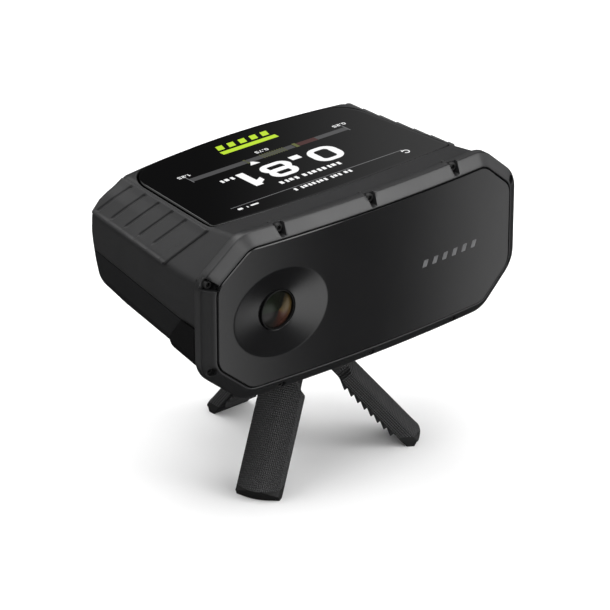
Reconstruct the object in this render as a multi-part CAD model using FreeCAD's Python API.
"""Reaction-timing sensor box on a folding mini tripod.

Local axes while modelling: X across the front, Y backwards from the crown of the front
window, Z up from the middle height of the front face. Everything is moved at the end, so
that the origin is on the floor under the middle of the whole object.
"""
import FreeCAD, Part
import math
import os

V = FreeCAD.Vector

# ---- place of the local axes over the floor -------------------------------------------
FACE_Z = 96.0            # height of the front face's middle above the floor
FRONT_Y = -50.4          # crown of the front window, measured from the origin

# ---- front face ---------------------------------------------------------------------
CROWN_R = 704.0          # the whole front bows forwards on this radius
WIN_X, WIN_Z = 78.0, 30.7            # half width and half height inside the bezel's chamfer
WIN_TOP_X, WIN_SIDE_Z = 62.3, 17.5   # where the corner bevels start
BEVEL_OUT = 5.6          # the chamfer widens the outline by this much
BEVEL_DEEP = 3.7         # and runs this far back
BEZEL_DEEP = 7.1         # depth of the bezel ring
WIN_GAP = 0.5            # groove between chamfer and window
WIN_SET, WIN_THICK = 0.2, 2.2          # window's front behind the crown, its thickness
LEDGE = 2.6              # inner ledge that backs the window
DISH_X, DISH_Z = -47.5, -0.7         # lens dish
DISH_X_R, DISH_Z_R, DISH_DEEP = 22.8, 18.8, 2.6      # wider than it is high
LENS_HOLE_R = 8.6
RING_R, RING_BORE_R, RING_FLANGE_R = 8.5, 8.0, 10.6
RING_PROUD, RING_END = 0.3, 8.0      # ring's front ahead of the dish's floor, its back
LENS_R, LENS_DOME_R = 7.95, 22.0
LENS_PROUD, LENS_THICK = 0.6, 3.6
INNER_LENS_Y, INNER_LENS_R, INNER_LENS_THICK, INNER_DOME_R = 9.2, 5.1, 2.4, 11.0
BARREL_R, BARREL_Y, BARREL_STEP, BARREL_END = 7.4, 8.1, 16.0, 20.0
BARREL_BORE_R, BARREL_THROAT_R = 5.2, 3.4
SENSOR_Y, SENSOR_X, SENSOR_Z, SENSOR_THICK = 20.1, 4.5, 4.0, 1.6
CAMERA_BOARD_Y, CAMERA_BOARD_X, CAMERA_BOARD_Z = 21.8, 15.0, 13.0

# ---- bezel screws -------------------------------------------------------------------
SCREW_HEAD_R, SCREW_R, SCREW_SOCKET_R = 1.75, 1.0, 0.9
SCREW_HEAD_DEEP = 1.8
SCREW_SET = 3.6          # head's front face behind the crown
SLOT_HALF_W = 2.3
SLOT_WAY = 9.0           # length of a notch's open side
SLOT_AHEAD = 3.0         # notches are cut from this far ahead of the crown
SLOT_TURN = 47.7         # a corner notch opens at this angle from the upright
POCKET_GAP = 0.12        # round pockets of the bottom screws
CORNER_SCREW_X = 60.0    # screws beyond this sit in the corners
SCREW_END = 1.6          # screws stop this far short of the flange's back
SCREWS = [(x, s * 34.35) for s in (1, -1) for x in (-46.0, 0.0, 46.0)]
SCREWS += [(x, s * 18.7) for s in (1, -1) for x in (-79.6, 79.6)]

# ---- housing ------------------------------------------------------------------------
WALL = 2.2
CORNER_INSET = 0.4       # share of an inset that moves a section's corner points
FLANGE = 7.0             # inward width of the front flange that takes the bezel screws
FLANGE_END = 15.0
SEC_Y = (3.0, 26.0, 102.0)           # stations of the housing sections
SEC_SIDE_X = (81.9, 79.9, 72.9)      # half width at the side
SEC_TOP_Z = (35.5, 32.6, 32.6)
SEC_TOP_X = (64.0, 63.9, 57.0)
SEC_UP_Z = (18.4, 17.0, 19.4)        # top of the upright side
SEC_LOW_Z = (-17.4, -15.4, -7.0)     # bottom of the upright side
SEC_BOT_Z = (-35.4, -34.0, -27.6)
SEC_BOT_X = (64.0, 62.6, 55.0)
BACK_Y, BACK_R = 97.0, 520.0         # bow of the back
SEAM_Z, SEAM_KNEE_Y, SEAM_BACK_Z = -2.5, 25.0, 4.4
SEAM_BACK_Y = 102.0
SEAM_GAP = 0.15
HOUSING_SCREWS = [(-57.0, 38.0), (57.0, 38.0), (-56.2, 80.0), (56.2, 80.0)]
HOUSING_BOSS_R, HEAD_HOLE_R = 4.0, 2.6
HOUSING_SCREW_R, HOUSING_HEAD_R = 1.25, 2.4
FRONT_HEAD_Z, REAR_HEAD_Z = -29.9, -24.7    # seats of the heads of the front and rear screws

# ---- collar: only below the seam, its back edge slanting to the rear -------------------
COLLAR_FRONT_Y = 13.6
COLLAR_BACK = [(25.0, SEAM_Z), (33.0, -14.0)]    # back edge, in Y and Z
COLLAR_THICK = 1.5

# ---- display ------------------------------------------------------------------------
GLASS_TOP_Z, GLASS_THICK = 32.8, 1.8
GLASS_FRONT_Y, GLASS_BACK_Y = 22.6, 93.1
GLASS_FRONT_X, GLASS_BACK_X = 63.1, 58.0
GLASS_GAP = 0.35
GLASS_CORNER_R, GLASS_BOW, GLASS_BACK_BOW = 9.0, 3.0, 5.4
UNDER_GLASS = 0.15       # display panel's clearance under the glass
PANEL_X, PANEL_Y, PANEL_THICK = 112.0, 58.0, 2.8
PANEL_MID_Y = 55.0
PANEL_EDGE, PANEL_LEDGE = 2.3, 2.0     # the panel and its opening are smaller by these

# ---- grips --------------------------------------------------------------------------
SKIN_GAP = 0.05          # collar and grips stand this far off the housings
GRIP_THICK = 1.0
GRIP_GROOVES, GRIP_FIRST_Y, GRIP_PITCH = 5, 31.5, 9.85
GRIP_GROOVE_W, GRIP_GROOVE_SLANT, GRIP_GROOVE_Z = 1.6, 16.0, 20.4
GRIP_IN_X, GRIP_TOP_Z = 57.6, 31.9
GRIP_ZONE = [(24.5, 32.9), (93.0, 32.9), (93.0, 19.2), (37.0, 16.7)]    # in Y and Z

# ---- inside -------------------------------------------------------------------------
BOARD_TOP, BOARD_THICK = 8.0, 1.6
BOARD_X, BOARD_Y = 49.0, (29.0, 82.0)
TRAY_X, TRAY_Y, TRAY_THICK = 52.0, (27.0, 83.0), 2.0
TRAY_HOLES_X, TRAY_HOLE_HALF_X, TRAY_HOLE_Y = (-26.0, 0.0, 26.0), 9.0, (36.0, 74.0)
CANS, CAN_HIGH = [(-30.0, -4.0, 42.0, 66.0), (2.0, 20.0, 46.0, 64.0)], 2.4     # X, then Y
ANTENNA, ANTENNA_HIGH = (24.0, 42.0, 42.0, 60.0), 4.0
POST_R = 3.0
BOARD_POSTS = [(-44.0, 33.0), (44.0, 33.0), (-44.0, 77.0), (44.0, 77.0)]
BOARD_SCREW_HEAD_R, BOARD_SCREW_R = 2.2, 1.0
CELL_R, CELL_Z = 9.1, -10.5
CELL_X, CELL_Y = (-35.5, 29.5), (56.0, 74.5)
CELL_GAP, CELL_TRAY_WALL, CELL_TRAY_SIDE, CELL_TRAY_DEEP = 0.15, 2.5, 0.5, 11.2
SPEAKER_X, SPEAKER_Y = 43.0, 45.8
SPEAKER_R, SPEAKER_Z0, SPEAKER_Z1 = 11.0, -27.0, -22.5
MAGNET_R, MAGNET_TOP_Z = 6.0, -19.5

# ---- rear panel: power key, charging socket and its door ----------------------------
REAR_X, REAR_Z0, REAR_Z1 = 30.0, -20.0, -2.0
REAR_Y = 92.6            # inner face of the flat rear panel
REAR_THICK = 2.2
REAR_GAP = 0.3
KEY_X, REAR_MID_Z, KEY_R = -18.0, -11.0, 5.0
KEY_TRAVEL = 0.9
SOCKET_X, SOCKET_HALF_X, SOCKET_HALF_Z = 14.0, 4.5, 1.6
DOOR_HALF_X, DOOR_HALF_Z = 8.0, 5.0
DOOR_PIN_R, KNUCKLE_R = 0.6, 1.0
EAR_X, EAR_HALF_W = 9.0, 0.7         # hinge ears beside the door
KEY_FLANGE_R, KEY_STEM_R, KEY_HOLLOW_R = 6.0, 1.2, 20.0
KEY_BACK, KEY_PROUD = 2.6, 1.4       # key's back inside the panel, its front outside it
SWITCH_HALF, SWITCH_DEEP = 3.0, 3.1
REAR_BOARD_X, REAR_BOARD_Z, REAR_BOARD_THICK = 26.0, (-19.5, -3.0), 1.35
HINGE_Y, HINGE_Z = REAR_Y + 3.4, REAR_MID_Z + DOOR_HALF_Z

# ---- tripod head --------------------------------------------------------------------
INSERT_R, INSERT_HOLE_R, INSERT_LEN = 4.6, 3.2, 10.0
STUD_R, STUD_FOOT_Z = 3.15, -40.6
DISC_R, EYE_R = 13.5, 4.2
HEAD_PIN_R, HEAD_PIN_HALF = 2.0, 9.4
HEAD_HALF_W = 5.0
HUB_R, HUB_TOP_Z, CHEEK_R, HUB_POST_R = 12.6, -47.8, 3.8, 5.4

# ---- tripod -------------------------------------------------------------------------
TRIPOD_Y = 48.6
BOSS_R, BOSS_Z = 15.0, -36.0
LEG_ANGLES = {"front_left": -150.0, "front_right": -30.0, "rear": 90.0}
LEG_SPREAD = 40.0        # angle of an open leg from the upright
PIN_R_AT, PIN_Z = 10.0, -51.0        # hinge pin: distance from the tripod's axis, height
PIN_R = 1.5
LEG_OUT_R = 16.2         # the outer faces of the closed legs form this cylinder
LEG_IN_R = 7.8           # edge of the channel's side walls
LEG_HALF_W, NECK_HALF_W = 9.5, 6.9
LEG_START, NECK_END = 5.4, 13.0
LEG_WALL = 2.0
LEG_LEN = 56.0           # from the pin to the start of the rubber foot
FOOT_END_R = 52.2        # end of an open foot, from the tripod's axis
RIB_COUNT, RIB_PITCH, RIB_TIP_R = 9, 4.4, 5.9
RIB_FIRST = 13.6
TONGUE_R, TONGUE_HALF_W, EAR_W = 3.6, 4.0, 3.0
EAR_GAP = 0.15
PIVOT_Z = -43.4          # axis of the tilting block
RUN = 0.05               # radial running clearance


# ---- helpers ------------------------------------------------------------------------
def prism_xz(points, y0, y1):
    """Closed outline in X and Z, pushed from y0 to y1."""
    wire = Part.makePolygon([V(x, y0, z) for x, z in points + points[:1]])
    return Part.Face(wire).extrude(V(0, y1 - y0, 0))


def prism_yz(points, x0, x1):
    """Closed outline in Y and Z, pushed from x0 to x1."""
    wire = Part.makePolygon([V(x0, y, z) for y, z in points + points[:1]])
    return Part.Face(wire).extrude(V(x1 - x0, 0, 0))


def block(x0, x1, y0, y1, z0, z1):
    return Part.makeBox(x1 - x0, y1 - y0, z1 - z0, V(x0, y0, z0))


def rod_y(x, z, r, y0, y1):
    return Part.makeCylinder(r, y1 - y0, V(x, y0, z), V(0, 1, 0))


def rod_x(y, z, r, x0, x1):
    return Part.makeCylinder(r, x1 - x0, V(x0, y, z), V(1, 0, 0))


def rod_z(x, y, r, z0, z1):
    return Part.makeCylinder(r, z1 - z0, V(x, y, z0))


def tube_z(x, y, r_out, r_in, z0, z1):
    return rod_z(x, y, r_out, z0, z1).cut(rod_z(x, y, r_in, z0 - 1, z1 + 1))


def crown(depth):
    """Solid of everything further back than the crowned front plus depth."""
    return Part.makeCylinder(CROWN_R - depth, 120, V(0, CROWN_R, -60))


def crown_y(x):
    return CROWN_R - math.sqrt(CROWN_R ** 2 - x ** 2)


def octagon(side_x, top_z, top_x, up_z, low_z, bot_z, bot_x):
    right = [(top_x, top_z), (side_x, up_z), (side_x, low_z), (bot_x, bot_z)]
    return right + [(-x, z) for x, z in reversed(right)]


def face_outline(grow):
    """Outline of the front face, its corner bevels moved out by the same distance."""
    dx, dz = WIN_X - WIN_TOP_X, WIN_Z - WIN_SIDE_Z
    slant = math.hypot(dx, dz)
    top_x = WIN_TOP_X + grow * (slant - dx) / dz
    side_z = WIN_SIDE_Z + grow * (slant - dz) / dx
    z = WIN_Z + grow
    return octagon(WIN_X + grow, z, top_x, side_z, -side_z, -z, top_x)


def fused(shapes):
    out = shapes[0]
    for shape in shapes[1:]:
        out = out.fuse(shape)
    return out.removeSplitter()


# ---- front --------------------------------------------------------------------------
def side_cutters():
    """Wedges that take the front edge off the outline's short and slanted sides."""
    inner, outer = face_outline(0.0), face_outline(BEVEL_OUT)
    cutters = []
    for i in range(8):
        j = (i + 1) % 8
        if inner[i][1] == inner[j][1]:
            continue                     # the long top and bottom are cut by a sweep
        bow = crown_y(max(abs(inner[i][0]), abs(inner[j][0])))
        near = [V(x, bow, z) for x, z in (inner[i], inner[j])]
        far = []
        for k in (j, i):
            dx, dz = outer[k][0] - inner[k][0], outer[k][1] - inner[k][1]
            far.append(V(inner[k][0] + 3 * dx, bow + 3 * BEVEL_DEEP, inner[k][1] + 3 * dz))
        wedge = Part.Face(Part.makePolygon(near + far + near[:1]))
        cutters.append(wedge.extrude(V(0, -30, 0)))
    return cutters


def crowned_band(y0, y1, grow):
    """Slice of the front outline between two crowned surfaces."""
    body = prism_xz(face_outline(grow), -5, 30)
    return body.common(crown(y0)).cut(crown(y1))


def make_bezel():
    ring = crowned_band(0.0, BEZEL_DEEP, BEVEL_OUT)
    top_and_bottom = Part.makePolygon([
        V(0, 0, WIN_Z), V(0, BEVEL_DEEP * 2, WIN_Z + BEVEL_OUT * 2),
        V(0, -9, WIN_Z + BEVEL_OUT * 2), V(0, -9, WIN_Z), V(0, 0, WIN_Z)])
    axis = V(0, CROWN_R, 0)
    sweep = Part.Face(top_and_bottom)
    sweep.rotate(axis, V(0, 0, 1), -9)
    wedge = sweep.revolve(axis, V(0, 0, 1), 18)
    ring = ring.cut(wedge)
    ring = ring.cut(wedge.mirror(V(0, 0, 0), V(0, 0, 1)))
    for cutter in side_cutters():
        ring = ring.cut(cutter)
    ring = ring.cut(crowned_band(-1.0, WIN_THICK + WIN_SET, 0.0))
    ring = ring.cut(prism_xz(face_outline(-LEDGE), -5, 30))
    for x, z in SCREWS:
        ring = ring.cut(screw_slot(x, z))
    return ring


def dish_cutter():
    """Flared opening that narrows from a wide oval ahead of the face to the lens hole."""
    ahead = 2.0
    share = ahead / DISH_DEEP
    wide = DISH_X_R + share * (DISH_X_R - LENS_HOLE_R)
    high = DISH_Z_R + share * (DISH_Z_R - LENS_HOLE_R)
    oval = Part.Ellipse(V(wide, 0, 0), V(0, high, 0), V(0, 0, 0)).toShape()
    hole = Part.Circle(V(0, 0, 0), V(0, 0, 1), LENS_HOLE_R - 0.1).toShape()
    hole.translate(V(0, 0, -DISH_DEEP - ahead))
    flare = Part.makeLoft([Part.Wire(oval), Part.Wire(hole)], True, True)
    flare.rotate(V(0, 0, 0), V(1, 0, 0), 90)
    flare.translate(V(DISH_X, dish_y() - ahead, DISH_Z))
    flare.rotate(V(DISH_X, dish_y(), DISH_Z), V(0, 0, 1), math.degrees(DISH_X / CROWN_R))
    return flare


def make_window():
    plate = crowned_band(WIN_SET, WIN_THICK + WIN_SET, -WIN_GAP)
    plate = plate.cut(dish_cutter())
    return plate.cut(rod_y(DISH_X, DISH_Z, LENS_HOLE_R, -2, 12))


def dish_y():
    return crown_y(DISH_X) + WIN_SET


def screw_slot(x, z):
    """Round-ended notch round a screw head, open to the outside of the bezel."""
    y1 = crown_y(x) + SCREW_SET + SCREW_HEAD_DEEP
    corner = abs(x) > CORNER_SCREW_X
    if z < 0 and not corner:
        return rod_y(x, z, SCREW_HEAD_R + POCKET_GAP, -SLOT_AHEAD, y1)   # the bottom ones are closed
    slot = rod_y(x, z, SLOT_HALF_W, -SLOT_AHEAD, y1)
    way = block(-SLOT_HALF_W, SLOT_HALF_W, -SLOT_AHEAD, y1, 0, SLOT_WAY)
    angle = 0.0
    if corner:
        angle = math.copysign(SLOT_TURN if z > 0 else 180 - SLOT_TURN, x)
    way.rotate(V(0, 0, 0), V(0, 1, 0), angle)
    way.translate(V(x, 0, z))
    return slot.fuse(way)


def make_bezel_screws():
    screws = []
    for x, z in SCREWS:
        y = crown_y(x) + SCREW_SET
        head = rod_y(x, z, SCREW_HEAD_R, y, y + SCREW_HEAD_DEEP)
        socket = rod_y(x, z, SCREW_SOCKET_R, y - 1, y + SCREW_HEAD_DEEP / 2)
        screws.append(head.fuse(rod_y(x, z, SCREW_R, y + 1, FLANGE_END - SCREW_END)).cut(socket))
    return Part.makeCompound(screws)


# ---- lens stack ---------------------------------------------------------------------
def make_lens_ring():
    """Thin ring round the front lens, with a flange behind the window."""
    y = dish_y()
    outer = rod_y(DISH_X, DISH_Z, RING_R, y + DISH_DEEP - RING_PROUD, y + RING_END)
    flange = rod_y(DISH_X, DISH_Z, RING_FLANGE_R, y + WIN_THICK + 1.0, y + 5.0)
    return outer.fuse(flange).cut(rod_y(DISH_X, DISH_Z, RING_BORE_R, y, y + RING_END + 1))


def make_front_lens():
    y = dish_y() + DISH_DEEP - LENS_PROUD
    ball = Part.makeSphere(LENS_DOME_R, V(DISH_X, y + LENS_DOME_R, DISH_Z))
    return rod_y(DISH_X, DISH_Z, LENS_R, y - 1, y + LENS_THICK).common(ball)


def make_inner_lens():
    y = dish_y() + INNER_LENS_Y
    ball = Part.makeSphere(INNER_DOME_R, V(DISH_X, y + INNER_DOME_R, DISH_Z))
    return rod_y(DISH_X, DISH_Z, INNER_LENS_R, y, y + INNER_LENS_THICK).common(ball)


def make_lens_barrel():
    y = dish_y()
    barrel = rod_y(DISH_X, DISH_Z, BARREL_R, y + BARREL_Y, y + BARREL_END)
    bore = rod_y(DISH_X, DISH_Z, BARREL_BORE_R, y + BARREL_Y - 1, y + BARREL_STEP)
    throat = rod_y(DISH_X, DISH_Z, BARREL_THROAT_R, y + BARREL_STEP - 1, y + BARREL_END + 1)
    return barrel.cut(bore).cut(throat)


def make_camera_board():
    y = dish_y() + CAMERA_BOARD_Y
    return block(DISH_X - CAMERA_BOARD_X, DISH_X + CAMERA_BOARD_X, y, y + BOARD_THICK,
                 DISH_Z - CAMERA_BOARD_Z, DISH_Z + CAMERA_BOARD_Z)


def make_image_sensor():
    y = dish_y() + SENSOR_Y
    return block(DISH_X - SENSOR_X, DISH_X + SENSOR_X, y, y + SENSOR_THICK,
                 DISH_Z - SENSOR_Z, DISH_Z + SENSOR_Z)


# ---- housings -----------------------------------------------------------------------
def section(i, inset):
    """Closed outline of the housing at one station, moved in by an even distance."""
    step = inset * CORNER_INSET
    pts = octagon(SEC_SIDE_X[i] - inset, SEC_TOP_Z[i] - inset, SEC_TOP_X[i] - step,
                  SEC_UP_Z[i] - step, SEC_LOW_Z[i] + step, SEC_BOT_Z[i] + inset,
                  SEC_BOT_X[i] - step)
    return Part.makePolygon([V(x, SEC_Y[i], z) for x, z in pts + pts[:1]])


def hull_solid(inset, back_inset=0.0):
    """Whole housing volume, tapering backwards and bowed at the back."""
    parts = [Part.makeLoft([section(i, inset), section(i + 1, inset)], True, True)
             for i in range(2)]
    body = parts[0].fuse(parts[1]).removeSplitter()
    back = Part.makeCylinder(BACK_R, 120, V(0, BACK_Y - back_inset - BACK_R, -60))
    return body.common(back)


def below_seam(gap):
    z0, z1 = SEAM_Z - gap, SEAM_BACK_Z - gap
    pts = [(-10, -60), (-10, z0), (SEAM_KNEE_Y, z0), (SEAM_BACK_Y, z1), (SEAM_BACK_Y, -60)]
    return prism_yz(pts, -100, 100)


def make_shell():
    outer = hull_solid(0.0).common(crown(BEZEL_DEEP))
    cavity = hull_solid(WALL, WALL)
    mouth = hull_solid(FLANGE)
    front = block(-100, 100, -10, FLANGE_END, -60, 60)
    return outer.cut(cavity.cut(front)).cut(mouth.common(front))


def flip(v):
    return V(-v.x, v.y, v.z)


def glass_outline(grow):
    """Cover glass seen from above: bowed front and back, large rear corners."""
    fx, bx = GLASS_FRONT_X + grow, GLASS_BACK_X + grow
    fy, by = GLASS_FRONT_Y - grow, GLASS_BACK_Y + grow
    corner, back_y = GLASS_CORNER_R, by - GLASS_BACK_BOW
    pts_front = [V(-fx, fy + GLASS_BOW, 0), V(0, fy, 0), V(fx, fy + GLASS_BOW, 0)]
    side_end = V(bx, back_y - corner, 0)
    back_start = V(bx - corner, back_y, 0)
    mid = V(bx - corner * 0.27, back_y - corner * 0.3, 0)      # a point on the corner's arc
    edges = [Part.Arc(*pts_front).toShape(),
             Part.LineSegment(pts_front[2], side_end).toShape(),
             Part.Arc(side_end, mid, back_start).toShape(),
             Part.Arc(back_start, V(0, by, 0), flip(back_start)).toShape(),
             Part.Arc(flip(back_start), flip(mid), flip(side_end)).toShape(),
             Part.LineSegment(flip(side_end), pts_front[0]).toShape()]
    return Part.Face(Part.Wire(edges))


def glass_solid(grow, z0, z1):
    face = glass_outline(grow)
    face.translate(V(0, 0, z0))
    return face.extrude(V(0, 0, z1 - z0))


def make_upper_housing(shell):
    upper = shell.copy()
    inside = hull_solid(WALL * 0.5, WALL * 0.5)
    for x, y in HOUSING_SCREWS:
        boss = rod_z(x, y, HOUSING_BOSS_R, seam_z(y) - 3, 31.2)
        upper = upper.fuse(boss.common(inside))
    upper = upper.cut(below_seam(0.0))
    floor_z = GLASS_TOP_Z - GLASS_THICK - 0.1
    upper = upper.cut(glass_solid(GLASS_GAP, floor_z, GLASS_TOP_Z + 3))
    half_x, half_y = PANEL_X / 2 - PANEL_LEDGE, PANEL_Y / 2 - PANEL_LEDGE
    hole = block(-half_x, half_x, PANEL_MID_Y - half_y, PANEL_MID_Y + half_y, 20, 40)
    return upper.cut(hole)


def seam_z(y):
    if y < SEAM_KNEE_Y:
        return SEAM_Z
    run = (y - SEAM_KNEE_Y) / (SEAM_BACK_Y - SEAM_KNEE_Y)
    return SEAM_Z + (SEAM_BACK_Z - SEAM_Z) * run


def rear_window(grow, y0, y1):
    """Block the size of the rear panel, grown on all four sides."""
    return block(-REAR_X - grow, REAR_X + grow, y0, y1, REAR_Z0 - grow, REAR_Z1 + grow)


def make_lower_housing(shell):
    lower = shell.common(below_seam(SEAM_GAP))
    inside = hull_solid(WALL * 0.5, WALL * 0.5).common(below_seam(SEAM_GAP))
    for x, y in HOUSING_SCREWS:
        boss = rod_z(x, y, HOUSING_BOSS_R, -34, seam_z(y) + 4)
        lower = lower.fuse(boss.common(inside))
        lower = lower.cut(rod_z(x, y, HEAD_HOLE_R, -60, head_z(y) - 0.5))
    lower = lower.fuse(rod_z(0, TRIPOD_Y, BOSS_R, BOSS_Z, -22.0))
    lower = lower.cut(rear_window(REAR_GAP, 86, 104))
    ledge = rear_window(2.0, REAR_Y - 2.0, 104).cut(rear_window(REAR_GAP, REAR_Y - 0.1, 105))
    ledge = ledge.cut(rear_window(-2.0, 80, 104))
    return lower.fuse(ledge.common(inside)).removeSplitter()


def make_collar():
    """Bumper under the front, from seam to seam, just behind the bezel."""
    outer = hull_solid(-COLLAR_THICK).cut(hull_solid(-SKIN_GAP))
    (y1, top), (y2, bend) = COLLAR_BACK
    top -= SEAM_GAP
    zone = [(COLLAR_FRONT_Y, -60), (COLLAR_FRONT_Y, top), (y1, top), (y2, bend), (y2, -60)]
    return outer.common(prism_yz(zone, -100, 100))


def make_grip(side):
    """Rubber pad over the upper bevel, with shallow cross grooves."""
    pad = hull_solid(-GRIP_THICK).cut(hull_solid(-SKIN_GAP))
    pad = pad.common(prism_yz(GRIP_ZONE, 0, 100)).common(block(GRIP_IN_X, 100, 0, 100, 0, GRIP_TOP_Z))
    for i in range(GRIP_GROOVES):
        y = GRIP_FIRST_Y + i * GRIP_PITCH
        low = y + GRIP_GROOVE_SLANT
        groove = prism_yz([(y, 40), (y + GRIP_GROOVE_W, 40), (low + GRIP_GROOVE_W, GRIP_GROOVE_Z),
                           (low, GRIP_GROOVE_Z)], 50, 100)
        pad = pad.cut(groove.cut(hull_solid(-0.4)))
    if side < 0:
        pad = pad.mirror(V(0, 0, 0), V(1, 0, 0))
    return pad


def head_z(y):
    """Height of the counterbore's floor for a housing screw."""
    return FRONT_HEAD_Z if y < TRIPOD_Y else REAR_HEAD_Z


def make_housing_screws():
    screws = []
    for x, y in HOUSING_SCREWS:
        z = head_z(y)
        head = rod_z(x, y, HOUSING_HEAD_R, z - 2.2, z)
        screws.append(head.fuse(rod_z(x, y, HOUSING_SCREW_R, z - 0.5, seam_z(y) + 9)))
    return Part.makeCompound(screws)


# ---- inside -------------------------------------------------------------------------
def make_display_panel():
    z1 = GLASS_TOP_Z - GLASS_THICK - UNDER_GLASS
    half_x, half_y = PANEL_X / 2 - PANEL_EDGE, PANEL_Y / 2 - PANEL_EDGE
    return block(-half_x, half_x, PANEL_MID_Y - half_y, PANEL_MID_Y + half_y, z1 - PANEL_THICK, z1)


def make_mid_frame():
    """Moulded tray that carries the display above and the main board below."""
    z1 = GLASS_TOP_Z - GLASS_THICK - UNDER_GLASS - PANEL_THICK - 0.1
    tray = block(-TRAY_X, TRAY_X, *TRAY_Y, z1 - TRAY_THICK, z1)
    for x in TRAY_HOLES_X:
        tray = tray.cut(block(x - TRAY_HOLE_HALF_X, x + TRAY_HOLE_HALF_X, *TRAY_HOLE_Y, z1 - 3, z1 + 1))
    posts = [rod_z(x, y, POST_R, BOARD_TOP, z1 - TRAY_THICK + 0.1) for x, y in BOARD_POSTS]
    return fused([tray] + posts)


def make_main_board():
    return block(-BOARD_X, BOARD_X, *BOARD_Y, BOARD_TOP - BOARD_THICK, BOARD_TOP)


def make_shield_cans():
    return Part.makeCompound([block(*can, BOARD_TOP, BOARD_TOP + CAN_HIGH) for can in CANS])


def make_antenna():
    return block(*ANTENNA, BOARD_TOP, BOARD_TOP + ANTENNA_HIGH)


def make_battery_cells():
    return Part.makeCompound([rod_x(y, CELL_Z, CELL_R, *CELL_X) for y in CELL_Y])


def make_battery_tray():
    x0, x1 = CELL_X
    end, side = CELL_TRAY_WALL, CELL_R - CELL_TRAY_SIDE
    tray = block(x0 - end, x1 + end, CELL_Y[0] - side, CELL_Y[1] + side, CELL_Z - CELL_TRAY_DEEP,
                 CELL_Z - 1)
    for y in CELL_Y:
        tray = tray.cut(rod_x(y, CELL_Z, CELL_R + CELL_GAP, x0 - CELL_GAP, x1 + CELL_GAP))
    return tray


def make_speaker():
    cone = rod_z(SPEAKER_X, SPEAKER_Y, SPEAKER_R, SPEAKER_Z0, SPEAKER_Z1)
    return cone.fuse(rod_z(SPEAKER_X, SPEAKER_Y, MAGNET_R, SPEAKER_Z1 - 0.1, MAGNET_TOP_Z))


def make_board_screws():
    screws = []
    under = BOARD_TOP - BOARD_THICK
    for x, y in BOARD_POSTS:
        head = rod_z(x, y, BOARD_SCREW_HEAD_R, under - 1.6, under)
        screws.append(head.fuse(rod_z(x, y, BOARD_SCREW_R, under - 0.5, BOARD_TOP + 5)))
    return Part.makeCompound(screws)


# ---- rear panel: power key, charging socket and its door ----------------------------
def make_rear_panel():
    panel = rear_window(0.0, REAR_Y, REAR_Y + REAR_THICK)
    panel = panel.cut(rod_y(KEY_X, REAR_MID_Z, KEY_R + 0.2, 80, 110))
    half_x, half_z = SOCKET_HALF_X + 0.1, SOCKET_HALF_Z + 0.2
    slot = block(SOCKET_X - half_x, SOCKET_X + half_x, 80, 110, REAR_MID_Z - half_z,
                 REAR_MID_Z + half_z)
    panel = panel.cut(slot)
    ears = []
    for s in (-1, 1):
        x0, x1 = SOCKET_X + s * EAR_X - EAR_HALF_W, SOCKET_X + s * EAR_X + EAR_HALF_W
        ears.append(rod_x(HINGE_Y, HINGE_Z, KNUCKLE_R, x0, x1))
        ears.append(block(x0, x1, REAR_Y + 2.1, HINGE_Y, HINGE_Z - KNUCKLE_R, HINGE_Z + KNUCKLE_R))
    panel = fused([panel] + ears)
    return panel.cut(rod_x(HINGE_Y, HINGE_Z, DOOR_PIN_R, SOCKET_X - 12, SOCKET_X + 12))


def make_power_key():
    y = REAR_Y + REAR_THICK
    key = rod_y(KEY_X, REAR_MID_Z, KEY_R, y - KEY_BACK, y + KEY_PROUD)
    key = key.fuse(rod_y(KEY_X, REAR_MID_Z, KEY_FLANGE_R, y - KEY_BACK - 1.0, y - KEY_BACK + 0.2))
    key = key.fuse(rod_y(KEY_X, REAR_MID_Z, KEY_STEM_R, y - KEY_BACK * 2, y - KEY_BACK - 0.9))
    hollow_y = y + KEY_PROUD + KEY_HOLLOW_R - 0.5
    return key.cut(Part.makeSphere(KEY_HOLLOW_R, V(KEY_X, hollow_y, REAR_MID_Z)))


def switch_y():
    """Front of the key's switch: just behind the stem of the pressed key."""
    return REAR_Y + REAR_THICK - KEY_BACK * 2 - KEY_TRAVEL - 0.2


def make_key_switch():
    y = switch_y()
    return block(KEY_X - SWITCH_HALF, KEY_X + SWITCH_HALF, y - SWITCH_DEEP, y,
                 REAR_MID_Z - SWITCH_HALF, REAR_MID_Z + SWITCH_HALF)


def make_rear_board():
    y = switch_y() - SWITCH_DEEP - SKIN_GAP
    return block(-REAR_BOARD_X, REAR_BOARD_X, y - REAR_BOARD_THICK, y, *REAR_BOARD_Z)


def make_charging_socket():
    y = REAR_Y - 7.2
    skin = 0.4
    shell = block(SOCKET_X - SOCKET_HALF_X, SOCKET_X + SOCKET_HALF_X, y, REAR_Y + 1.4,
                  REAR_MID_Z - SOCKET_HALF_Z, REAR_MID_Z + SOCKET_HALF_Z)
    half_x, half_z = SOCKET_HALF_X - skin, SOCKET_HALF_Z - skin
    return shell.cut(block(SOCKET_X - half_x, SOCKET_X + half_x, y + 1, 110,
                           REAR_MID_Z - half_z, REAR_MID_Z + half_z))


def make_socket_door():
    y = REAR_Y + REAR_THICK
    x0, x1 = SOCKET_X - DOOR_HALF_X, SOCKET_X + DOOR_HALF_X
    low = REAR_MID_Z - DOOR_HALF_Z
    flap = block(x0, x1, y + 0.3, y + 1.9, low, HINGE_Z - 0.2)
    knuckle = rod_x(HINGE_Y, HINGE_Z, KNUCKLE_R, x0, x1)
    lip = block(SOCKET_X - 3, SOCKET_X + 3, y + 1.8, y + 2.5, low, low + 1.4)
    door = fused([flap, knuckle, lip])
    return door.cut(rod_x(HINGE_Y, HINGE_Z, DOOR_PIN_R + RUN, SOCKET_X - 12, SOCKET_X + 12))


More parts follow.
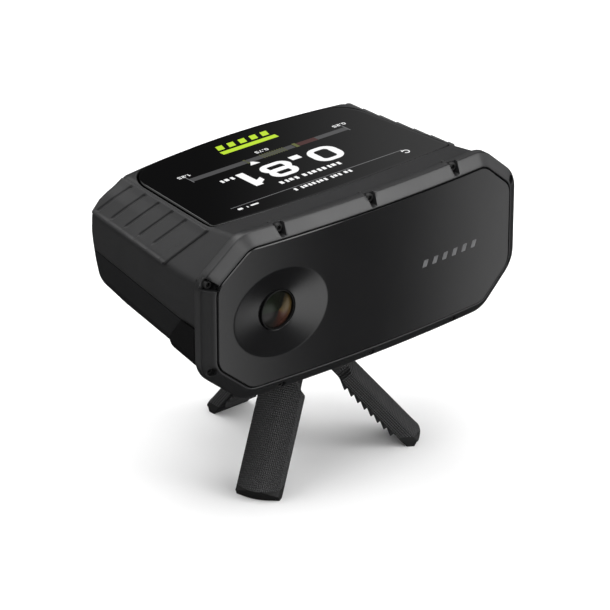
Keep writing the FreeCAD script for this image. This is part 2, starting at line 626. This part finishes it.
def make_door_pin():
    return rod_x(HINGE_Y, HINGE_Z, DOOR_PIN_R, SOCKET_X - 9.7, SOCKET_X + 9.7)


# ---- tripod head --------------------------------------------------------------------
def make_thread_insert():
    return tube_z(0, TRIPOD_Y, INSERT_R, INSERT_HOLE_R, BOSS_Z, BOSS_Z + INSERT_LEN)


def make_tilt_block():
    """Platform disc, mounting screw and the eye that tilts in the hub's fork."""
    disc = rod_z(0, TRIPOD_Y, DISC_R, BOSS_Z - 3.2, BOSS_Z - 1.3)
    eye = rod_x(TRIPOD_Y, PIVOT_Z, EYE_R, -HEAD_HALF_W, HEAD_HALF_W)
    neck = block(-HEAD_HALF_W, HEAD_HALF_W, TRIPOD_Y - 4.0, TRIPOD_Y + 4.0, PIVOT_Z + 1.0,
                 BOSS_Z - 3.1)
    body = disc.fuse(neck).fuse(eye)
    body = body.cut(rod_x(TRIPOD_Y, PIVOT_Z, HEAD_PIN_R + RUN, -20, 20))
    return body.cut(rod_z(0, TRIPOD_Y, STUD_R, STUD_FOOT_Z, BOSS_Z + 5))


def make_mount_screw():
    return rod_z(0, TRIPOD_Y, STUD_R, STUD_FOOT_Z, BOSS_Z + 5.5)


def make_platform_pad():
    return tube_z(0, TRIPOD_Y, DISC_R, 4.2, BOSS_Z - 1.3, BOSS_Z)


def make_hub():
    """Round hub: a fork for the tilting block above, three pairs of ears below."""
    core = rod_z(0, TRIPOD_Y, HUB_R, HUB_TOP_Z - 2.4, HUB_TOP_Z)
    core = core.fuse(rod_z(0, TRIPOD_Y, HUB_POST_R, HUB_TOP_Z - 7.0, HUB_TOP_Z - 1.0))
    cheeks = []
    for s in (-1, 1):
        x0, x1 = sorted((s * (HEAD_HALF_W + 0.2), s * (HEAD_HALF_W + 3.2)))
        cheeks.append(rod_x(TRIPOD_Y, PIVOT_Z, CHEEK_R, x0, x1))
        cheeks.append(block(x0, x1, TRIPOD_Y - CHEEK_R, TRIPOD_Y + CHEEK_R, HUB_TOP_Z - 0.5, PIVOT_Z))
    hub = fused([core] + cheeks)
    hub = hub.cut(rod_x(TRIPOD_Y, PIVOT_Z, HEAD_PIN_R, -20, 20))
    for angle in LEG_ANGLES.values():
        slot = leg_rod(TONGUE_R + 0.4, -TONGUE_HALF_W - EAR_GAP, TONGUE_HALF_W + EAR_GAP)
        hub = hub.cut(place_leg(slot, angle, 0))
    for angle in LEG_ANGLES.values():
        for s in (-1, 1):
            w0, w1 = sorted((s * (TONGUE_HALF_W + EAR_GAP), s * (TONGUE_HALF_W + EAR_W - 0.6)))
            hub = hub.fuse(place_leg(ear(w0, w1), angle, 0))
    for angle in LEG_ANGLES.values():
        hub = hub.cut(place_leg(leg_rod(PIN_R, -9, 9), angle, 0))
    return max(hub.Solids, key=lambda solid: solid.Volume)


# ---- legs ---------------------------------------------------------------------------
# A leg is made closed: X runs across it, Y outwards from the tripod's axis, Z up. The
# hinge pin lies along X at (Y = PIN_R_AT, Z = 0).
def leg_rod(r, x0, x1):
    return rod_x(PIN_R_AT, 0, r, x0, x1)


def ear(w0, w1):
    lobe = leg_rod(TONGUE_R, w0, w1)
    web = block(w0, w1, PIN_R_AT - TONGUE_R, PIN_R_AT + 2.4, 0, 2.6)
    return lobe.fuse(web)


def place_leg(shape, angle, spread):
    out = shape.copy()
    out.rotate(V(0, PIN_R_AT, 0), V(1, 0, 0), spread)
    out.rotate(V(0, 0, 0), V(0, 0, 1), angle - 90)
    out.translate(V(0, TRIPOD_Y, PIN_Z))
    return out


def leg_bar(half_w, u0, u1, r_in, r_out):
    bar = block(-half_w, half_w, r_in, r_out + 2, -u1, -u0)
    return bar.common(Part.makeCylinder(r_out, 200, V(0, 0, -150)))


def foot_zone(raised):
    """All below the floor and beyond the foot's end, turned back to the closed leg."""
    floor = block(-30, 30, -40, 120, -300, raised - (FACE_Z + PIN_Z))
    zone = floor.fuse(block(-30, 30, FOOT_END_R - raised, 120, -300, 80))
    zone.rotate(V(0, PIN_R_AT, 0), V(1, 0, 0), -LEG_SPREAD)
    return zone


def make_leg():
    bar = leg_bar(LEG_HALF_W, NECK_END, LEG_LEN, LEG_IN_R, LEG_OUT_R)
    neck = leg_bar(NECK_HALF_W, LEG_START, NECK_END + 0.2, LEG_IN_R, LEG_OUT_R - 0.5)
    leg = bar.fuse(neck)
    pocket = leg_bar(LEG_HALF_W - LEG_WALL, NECK_END + LEG_WALL, LEG_LEN - LEG_WALL, 0,
                     LEG_OUT_R - LEG_WALL)
    leg = leg.cut(pocket)
    tongue = leg_rod(TONGUE_R, -TONGUE_HALF_W, TONGUE_HALF_W)
    tail = block(-TONGUE_HALF_W, TONGUE_HALF_W, PIN_R_AT - 2.2, PIN_R_AT + 3.0, -LEG_START - 2.0, -0.5)
    ribs = []
    for i in range(RIB_COUNT):
        u = RIB_FIRST + i * RIB_PITCH
        points = [(LEG_OUT_R - 1.5, -u), (RIB_TIP_R + 2.4, -u), (RIB_TIP_R, -u - 1.9),
                  (RIB_TIP_R, -u - 2.3), (LEG_OUT_R - 1.5, -u - 2.3)]
        ribs.append(prism_yz(points, -LEG_HALF_W + 1.2, LEG_HALF_W - 1.2))
    leg = fused([leg, tongue, tail] + ribs)
    return leg.cut(leg_rod(PIN_R + RUN, -12, 12)).cut(foot_zone(0.6))


def make_foot():
    foot = leg_bar(LEG_HALF_W - 0.1, LEG_LEN + 0.02, LEG_LEN + 22, RIB_TIP_R, LEG_OUT_R)
    return foot.cut(foot_zone(0.0))


# ---- assembly -----------------------------------------------------------------------
def build():
    parts = {}
    shell = make_shell()
    parts["front_bezel"] = make_bezel()
    parts["front_window"] = make_window()
    parts["bezel_screws"] = make_bezel_screws()
    parts["lens_ring"] = make_lens_ring()
    parts["front_lens"] = make_front_lens()
    parts["inner_lens"] = make_inner_lens()
    parts["lens_barrel"] = make_lens_barrel()
    parts["camera_board"] = make_camera_board()
    parts["image_sensor"] = make_image_sensor()
    parts["upper_housing"] = make_upper_housing(shell)
    parts["lower_housing"] = make_lower_housing(shell)
    parts["front_collar"] = make_collar()
    parts["grip_right"] = make_grip(1)
    parts["grip_left"] = make_grip(-1)
    parts["housing_screws"] = make_housing_screws()
    parts["cover_glass"] = glass_solid(0.0, GLASS_TOP_Z - GLASS_THICK, GLASS_TOP_Z)
    parts["display_panel"] = make_display_panel()
    parts["mid_frame"] = make_mid_frame()
    parts["main_board"] = make_main_board()
    parts["shield_cans"] = make_shield_cans()
    parts["satellite_antenna"] = make_antenna()
    parts["board_screws"] = make_board_screws()
    parts["battery_cells"] = make_battery_cells()
    parts["battery_tray"] = make_battery_tray()
    parts["speaker"] = make_speaker()
    parts["rear_panel"] = make_rear_panel()
    parts["power_key"] = make_power_key()
    parts["key_switch"] = make_key_switch()
    parts["rear_board"] = make_rear_board()
    parts["charging_socket"] = make_charging_socket()
    parts["socket_door"] = make_socket_door()
    parts["door_pin"] = make_door_pin()
    parts["thread_insert"] = make_thread_insert()
    parts["platform_pad"] = make_platform_pad()
    parts["mount_screw"] = make_mount_screw()
    parts["tilt_block"] = make_tilt_block()
    parts["tilt_pin"] = rod_x(TRIPOD_Y, PIVOT_Z, HEAD_PIN_R, -HEAD_PIN_HALF, HEAD_PIN_HALF)
    parts["tripod_hub"] = make_hub()
    leg, foot = make_leg(), make_foot()
    for name, angle in LEG_ANGLES.items():
        parts["leg_" + name] = place_leg(leg, angle, LEG_SPREAD)
        parts["foot_" + name] = place_leg(foot, angle, LEG_SPREAD)
        pin = leg_rod(PIN_R, -TONGUE_HALF_W - EAR_W + 0.4, TONGUE_HALF_W + EAR_W - 0.4)
        parts["pin_" + name] = place_leg(pin, angle, 0)
    for host in ("upper_housing", "lower_housing", "front_bezel"):
        for screws in ("bezel_screws", "housing_screws"):
            parts[host] = parts[host].cut(parts[screws])
    for host in ("main_board", "mid_frame"):
        parts[host] = parts[host].cut(parts["board_screws"])
    parts["lower_housing"] = parts["lower_housing"].cut(
        rod_z(0, TRIPOD_Y, INSERT_R, BOSS_Z - 1, BOSS_Z + INSERT_LEN))
    return parts


def main():
    os.makedirs("parts", exist_ok=True)
    box = FreeCAD.BoundBox()
    for name, shape in build().items():
        shape.translate(V(0, FRONT_Y, FACE_Z))
        shape.exportStep("parts/" + name + ".step")
        box.add(shape.BoundBox)
        print(name, len(shape.Solids), "solids", round(shape.Volume / 1000, 2), "cm3", shape.isValid())
    print("box", [round(v, 2) for v in (box.XMin, box.XMax, box.YMin, box.YMax, box.ZMin, box.ZMax)])


main()
